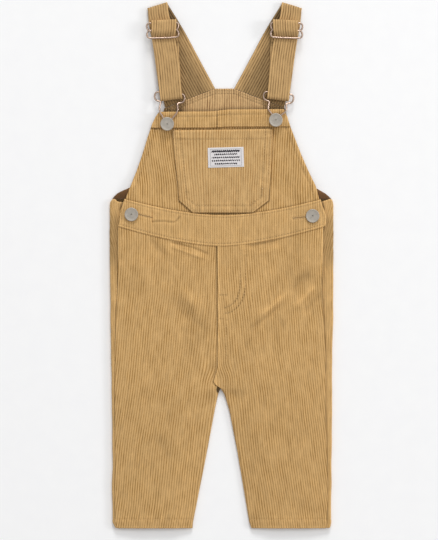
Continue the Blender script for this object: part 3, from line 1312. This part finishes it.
def strap(side):
    """A shoulder strap of doubled cloth, folded over at the top, round the hook and over the slider."""
    stations = strap_stations()
    run = eased(stations[:, (0, 1, 4, 2, 3, 4)], 1.5)
    first, second = run[:, :3], run[:, 3:]
    middle = (first + second) / 2
    ahead = np.gradient(middle, axis=0)
    normal = np.cross(second - first, ahead)
    normal /= np.linalg.norm(normal, axis=1)[:, None]
    travelled = np.concatenate(([0.0], np.cumsum(np.linalg.norm(np.diff(middle, axis=0), axis=1))))
    width = np.linalg.norm(second - first, axis=1)
    across = rows((0.0, 0.03, 0.0075), (0.03, 0.97, 0.0105), (0.97, 1.0, 0.0075))
    order = np.arange(len(run), dtype=float)

    def shape(share, level):
        station = np.rint(level).astype(int)
        point = first[station] * (1 - share[:, None]) + second[station] * share[:, None]
        along = travelled[station]
        from_inner = (1 - share) * width[station]
        inward = np.minimum(share, 1 - share) * width[station]
        round_off = np.sqrt(np.clip(1 - (1 - np.clip(inward / 0.9, 0.0, 1.0)) ** 2, 0.0, 1.0))
        stitch_dent = 0.16 * hump(inward - 2.2, 0.7)
        pucker = 0.14 * uneven(along, from_inner, 2.8, 30.0, 71) * hump(inward - 2.0, 3.0)
        bend = 0.25 * uneven(along, from_inner, 14.0, 16.0, 72)
        rib = rib_relief(from_inner, along)
        up = (CLOTH / 2 + rib * 0.9 - stitch_dent + pucker + bend) * round_off + 0.04
        down = (CLOTH / 2 + 0.5 * rib - stitch_dent) * round_off + 0.04
        face = point + normal[station] * up[:, None]
        back = point - normal[station] * down[:, None]
        if side == "right":
            for points in (face, back):
                points[:, 0] = 2 * STRAP_MIRROR_X - points[:, 0]
        back[:, 2] = np.maximum(back[:, 2], 0.0)
        weave = stacked(from_inner + (40.0 if side == "right" else 0.0), along, 0.0)
        on_back = fade(along, 92.0, 104.0)
        shaded = smooth(from_inner, 2.0, 15.0)
        crests = wale(0.93 * from_inner)
        lines = 0.7 * (1 - crests) * smooth(from_inner, 1.0, 4.0)
        tone = 0.25 * hump(inward - 1.0, 0.7) - 0.6 * stitch_dent
        at_top = smooth(point[:, 1], 226.0, 250.0)
        tone = tone - on_back * (0.02 + 0.66 * shaded * (1 - at_top) + 1.3 * at_top + lines)
        sewn_end = lip(np.abs(point[:, 1] - 227.0), 4.0) * lip(np.abs(from_inner - 1.5), 2.4) * (point[:, 2] < 4.0)
        tone = tone - 0.75 * sewn_end * (1 - on_back) * (1 + 0.5 * np.cos(2.1 * point[:, 1]))
        return face, back, weave, crests, tone, stacked(FAR, along, 0.0)

    piece = cloth_piece(f"strap_{side}_cloth", across, order, shape, STRAP_CLOTH,
                        [f"strap_{side}"], ribbed_back=True)


# Hardware ----------

HOOK_HALF = (
    # u, v, z
    (0.0, 0.0, 5.1), (7.0, 0.0, 5.1), (12.4, 0.0, 5.1), (14.6, -1.1, 5.1), (15.3, -3.8, 5.1), (14.8, -6.6, 5.1),
    (12.8, -8.5, 5.2), (9.8, -9.3, 5.5), (8.5, -10.5, 6.0), (8.9, -12.2, 6.8), (9.3, -15.0, 7.5),
    (9.1, -17.9, 7.6), (7.7, -21.1, 7.6), (5.5, -24.0, 7.6), (4.1, -26.8, 7.6), (4.0, -30.5, 7.6),
    (3.3, -33.6, 7.6), (0.0, -35.4, 7.6),
)
HOOK_RING_V = -15.0
HOOK_NECK_V = -26.5
HOOK_BUTTON_V = -31.3
# The middles of the bars that the straps are folded round.
HOOK_BARS = {"left": (-52.4, 175.5), "right": (58.9, 175.5)}

SLIDER_HALF = (
    # u, v
    (0.0, 7.6), (13.2, 7.6), (15.4, 6.6), (16.1, 4.4), (15.6, 2.0), (14.4, 0.0), (15.6, -2.0), (16.1, -4.4),
    (15.4, -6.6), (13.2, -7.6),
)
SLIDERS = {
    "left": {"middle": (-59.8, 239.6), "turn": math.radians(2.0)},
    "right": {"middle": (66.6, 239.6), "turn": math.radians(-2.0)},
}
SLIDER_BAR_HALF = 14.2
SLIDER_Z = 7.62
SLIDER_TILT = 0.035


def wire(name, points, closed, nodes):
    """A round wire bent along a smooth line of points in millimetres."""
    run = eased(points, 0.7, closed)
    curve = bpy.data.curves.new(name, "CURVE")
    curve.dimensions = "3D"
    curve.bevel_depth = WIRE / 2 * MM
    curve.bevel_resolution = 4
    curve.use_fill_caps = True
    spline = curve.splines.new("POLY")
    spline.points.add(len(run) - 1)
    for spot, point in zip(spline.points, run):
        spot.co = (*(point * MM), 1.0)
    spline.use_cyclic_u = closed
    guide = bpy.data.objects.new(f"{name}_run", curve)
    mesh = bpy.data.meshes.new_from_object(guide)
    bpy.data.objects.remove(guide)
    bm = bmesh.new()
    bm.from_mesh(mesh)
    bmesh.ops.remove_doubles(bm, verts=bm.verts[:], dist=0.01 * MM)
    bmesh.ops.recalc_face_normals(bm, faces=bm.faces[:])
    bm.to_mesh(mesh)
    bm.free()
    mesh.shade_smooth()
    mesh.materials.clear()
    add_piece(name, mesh, NICKEL, nodes)


def hook(side):
    """A bib hook of bent wire: a flat loop for the strap and a round one that narrows to the button."""
    bar = Vector(HOOK_BARS[side])
    reach = Vector(BIB_BUTTONS[side]) - bar
    down = reach.normalized()
    across = Vector((-down.y, down.x))
    half = [Vector(row) for row in HOOK_HALF]
    for row in half:
        ring_share = min(max((HOOK_RING_V - row.y) / (HOOK_RING_V - HOOK_NECK_V), 0.0), 1.0)
        row.y -= (HOOK_BUTTON_V + reach.length) * ring_share
    loop = half + [Vector((-row.x, row.y, row.z)) for row in reversed(half[1:-1])]
    points = []
    for row in loop:
        flat = bar + across * row.x - down * row.y
        points.append((flat.x, flat.y, row.z))
    wire(f"hook_{side}_wire", points, True, [f"hook_{side}"])


def slider(side):
    """A strap slider: a frame of bent wire and the bar across its middle."""
    middle = Vector(SLIDERS[side]["middle"])
    turn = SLIDERS[side]["turn"]

    def place(u, v):
        x = middle.x + u * math.cos(turn) - v * math.sin(turn)
        y = middle.y + u * math.sin(turn) + v * math.cos(turn)
        return x, y, SLIDER_Z - SLIDER_TILT * v

    loop = list(SLIDER_HALF) + [(-u, v) for u, v in reversed(SLIDER_HALF[1:])]
    wire(f"slider_{side}_wire", [place(u, v) for u, v in loop], True, [f"slider_{side}"])
    wire(f"slider_{side}_bar", [place(u, 0.0) for u in (-SLIDER_BAR_HALF, 0.0, SLIDER_BAR_HALF)], False, ())


BUTTON_PROFILE = (
    # radius, height over the foot of the cap
    (2.5, 0.0), (5.9, 0.0), (6.6, 0.15), (6.95, 0.5), (7.0, 0.9), (6.9, 1.3), (6.65, 1.58), (6.35, 1.66),
    (6.1, 1.6), (5.9, 1.54), (3.0, 1.56), (0.85, 1.56), (0.7, 1.35), (0.62, 0.7), (0.0, 0.6),
)
BUTTON_STEPS = 56


def button(name, node_name):
    """A pressed metal tack button: a domed rim, a flat face with a plain ring and a dimple."""
    low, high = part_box(node_name)
    centre = (low + high) / 2
    cap_foot = high.z / MM - max(height for _, height in BUTTON_PROFILE)
    mesh = bpy.data.meshes.new(name)
    bm = bmesh.new()
    profile = [(0.0, low.z / MM), (BUTTON_PROFILE[0][0], low.z / MM)]
    profile += [(radius, cap_foot + height) for radius, height in BUTTON_PROFILE]
    verts = [bm.verts.new(Vector((radius, 0.0, height)) * MM) for radius, height in profile]
    edges = [bm.edges.new(pair) for pair in zip(verts, verts[1:])]
    bmesh.ops.spin(bm, geom=verts + edges, cent=(0, 0, 0), axis=(0, 0, 1), angle=math.tau,
                   steps=BUTTON_STEPS, use_merge=True)
    bmesh.ops.remove_doubles(bm, verts=bm.verts[:], dist=0.001 * MM)
    bmesh.ops.recalc_face_normals(bm, faces=bm.faces[:])
    bmesh.ops.translate(bm, vec=(centre.x, centre.y, 0.0), verts=bm.verts[:])
    bm.to_mesh(mesh)
    bm.free()
    mesh.shade_smooth()
    mesh.set_sharp_from_angle(angle=SHARP_METAL)
    add_piece(name, mesh, PEWTER, [node_name])


# Studio ----------

WORLD_LIGHT = 0.585
LAMPS = (
    # name, place in metres, power, size
    ("top_window", (0.50, 5.20, 2.85), 166.0, 1.9),
    ("side_window", (5.20, 0.50, 2.35), 78.0, 1.3),
    ("high_softbox", (1.9, 2.0, 4.3), 31.0, 2.2),
)
# What the camera frames: the middle and the height of a rectangle at a level over the ground, in millimetres.
FRAME_CENTRE = (-2.35, -4.8)
FRAME_HEIGHT = 550.8
FRAMED_LEVEL = 5.0
LENS = 200.0
SENSOR = 36.0


def studio():
    """White floor in an evenly lit white room, low windows above and on the right, a camera straight above."""
    mesh = bpy.data.meshes.new("paper_floor")
    bm = bmesh.new()
    bmesh.ops.create_grid(bm, x_segments=1, y_segments=1, size=3.0)
    bm.to_mesh(mesh)
    bm.free()
    mesh.materials.append(paper_floor("white paper"))
    floor = bpy.data.objects.new("paper_floor", mesh)
    scene = bpy.context.scene
    scene.collection.objects.link(floor)

    scene.view_settings.view_transform = "Standard"
    world = bpy.data.worlds.new("studio")
    world.use_nodes = True
    tree = world.node_tree
    # A pale ceiling over walls that are a little darker towards the floor.
    height = node(tree, "SeparateXYZ", node(tree, "TexCoord", out="Generated"), out=2)
    plug(tree.nodes["Background"], Strength=WORLD_LIGHT,
         Color=node(tree, "MapRange SMOOTHSTEP", height, 0.0, 0.7, 0.9, 1.0))
    scene.world = world

    for name, place, power, size in LAMPS:
        light = bpy.data.lights.new(name, "AREA")
        light.shape = "DISK"
        light.size = size
        light.energy = power
        lamp = bpy.data.objects.new(name, light)
        lamp.location = place
        lamp.rotation_euler = (-Vector(place)).to_track_quat("-Z", "Y").to_euler()
        scene.collection.objects.link(lamp)

    lens = bpy.data.cameras.new("camera")
    lens.lens = LENS
    lens.sensor_width = SENSOR
    lens.dof.use_dof = False
    camera = bpy.data.objects.new("camera", lens)
    camera.location = Vector((*FRAME_CENTRE, FRAME_HEIGHT * LENS / SENSOR + FRAMED_LEVEL)) * MM
    scene.collection.objects.link(camera)
    scene.camera = camera


studio()
for side in ("left", "right"):
    back_leg(side)
upper_back()
for side in ("left", "right"):
    front_leg(side)
waistband()
bib()
bib_top_band()
bib_pocket()
label()
for side in ("left", "right"):
    hook(side)
    slider(side)
    strap(side)
    button(f"bib_button_{side}_plate", f"bib_button_{side}")
    button(f"side_button_{side}_plate", f"side_button_{side}")
